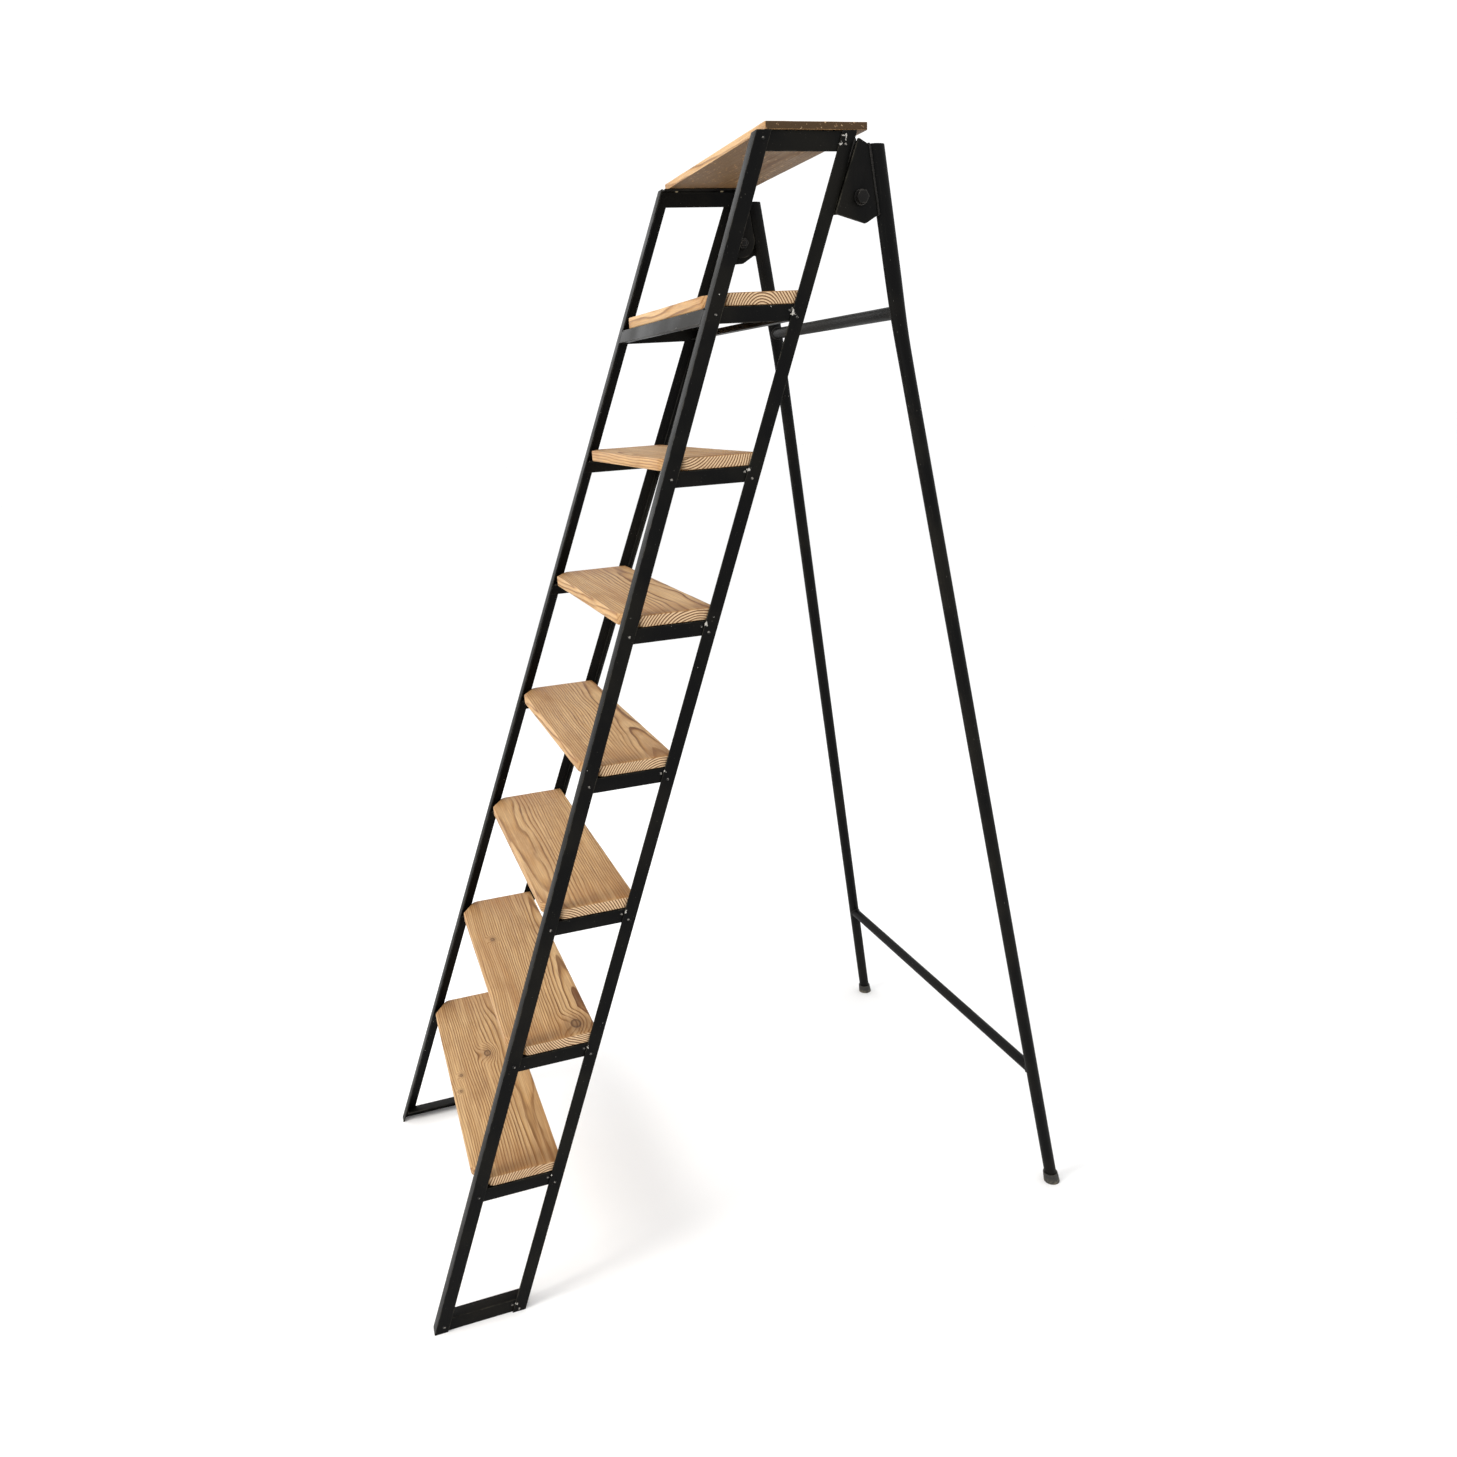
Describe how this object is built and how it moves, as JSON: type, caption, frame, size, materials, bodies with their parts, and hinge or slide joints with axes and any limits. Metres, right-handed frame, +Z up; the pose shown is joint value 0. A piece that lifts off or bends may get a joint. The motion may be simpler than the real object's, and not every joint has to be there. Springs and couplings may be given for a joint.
{
  "type": "library ladder",
  "caption": "Folding library ladder with leaning angle-iron side frames, wooden treads and a top board, held open by a splayed tubular prop frame hinged at the top.",
  "frame": {"origin": "on the floor, in the middle of the box around the open ladder: on its plane of symmetry, midway between the front of the side frames and the back of the prop's feet", "axes": "+X to the right of someone who faces the treads, across the ladder; +Y away from them, from the climbing side towards the prop; +Z up"},
  "size_m": [0.9006, 1.3335, 2.0509],
  "materials": {
    "black_paint": "satin black paint, brushed on, rubbed thin on the edges",
    "pine": "oiled pine with open grain and a few knots",
    "blackened_bolt": "black painted steel bolt, washers and nut",
    "rubber": "matt black rubber"
  },
  "bodies": {
    "ladder_frame": {"stile_front_left": "black_paint", "stile_rear_left": "black_paint", "bottom_bar_left": "black_paint", "tread_bar_1_left": "black_paint", "tread_bar_2_left": "black_paint", "tread_bar_3_left": "black_paint", "tread_bar_4_left": "black_paint", "tread_bar_5_left": "black_paint", "tread_bar_6_left": "black_paint", "tread_bar_7_left": "black_paint", "top_rail_left": "black_paint", "stile_front_right": "black_paint", "stile_rear_right": "black_paint", "bottom_bar_right": "black_paint", "tread_bar_1_right": "black_paint", "tread_bar_2_right": "black_paint", "tread_bar_3_right": "black_paint", "tread_bar_4_right": "black_paint", "tread_bar_5_right": "black_paint", "tread_bar_6_right": "black_paint", "tread_bar_7_right": "black_paint", "top_rail_right": "black_paint", "cross_member_front": "black_paint", "cross_member_rear": "black_paint", "tread_1": "pine", "tread_2": "pine", "tread_3": "pine", "tread_4": "pine", "tread_5": "pine", "tread_6": "pine", "tread_7": "pine", "top_board": "pine", "hinge_plate_left": "black_paint", "pivot_bolt_left": "blackened_bolt", "pivot_washer_left": "blackened_bolt", "pivot_spacer_left": "blackened_bolt", "pivot_nut_left": "blackened_bolt", "hinge_plate_right": "black_paint", "pivot_bolt_right": "blackened_bolt", "pivot_washer_right": "blackened_bolt", "pivot_spacer_right": "blackened_bolt", "pivot_nut_right": "blackened_bolt"},
    "prop_frame": {"prop_gusset_left": "black_paint", "prop_leg_left": "black_paint", "prop_foot_left": "rubber", "prop_gusset_right": "black_paint", "prop_leg_right": "black_paint", "prop_foot_right": "rubber", "prop_bar_upper": "black_paint", "prop_bar_lower": "black_paint"}
  },
  "joints": [
    {"name": "prop_fold", "type": "hinge", "parent": "ladder_frame", "child": "prop_frame", "pos_m": [0, 0.2833, 1.94], "axis": [-1, 0, 0], "range_deg": [0, 32]}
  ]
}
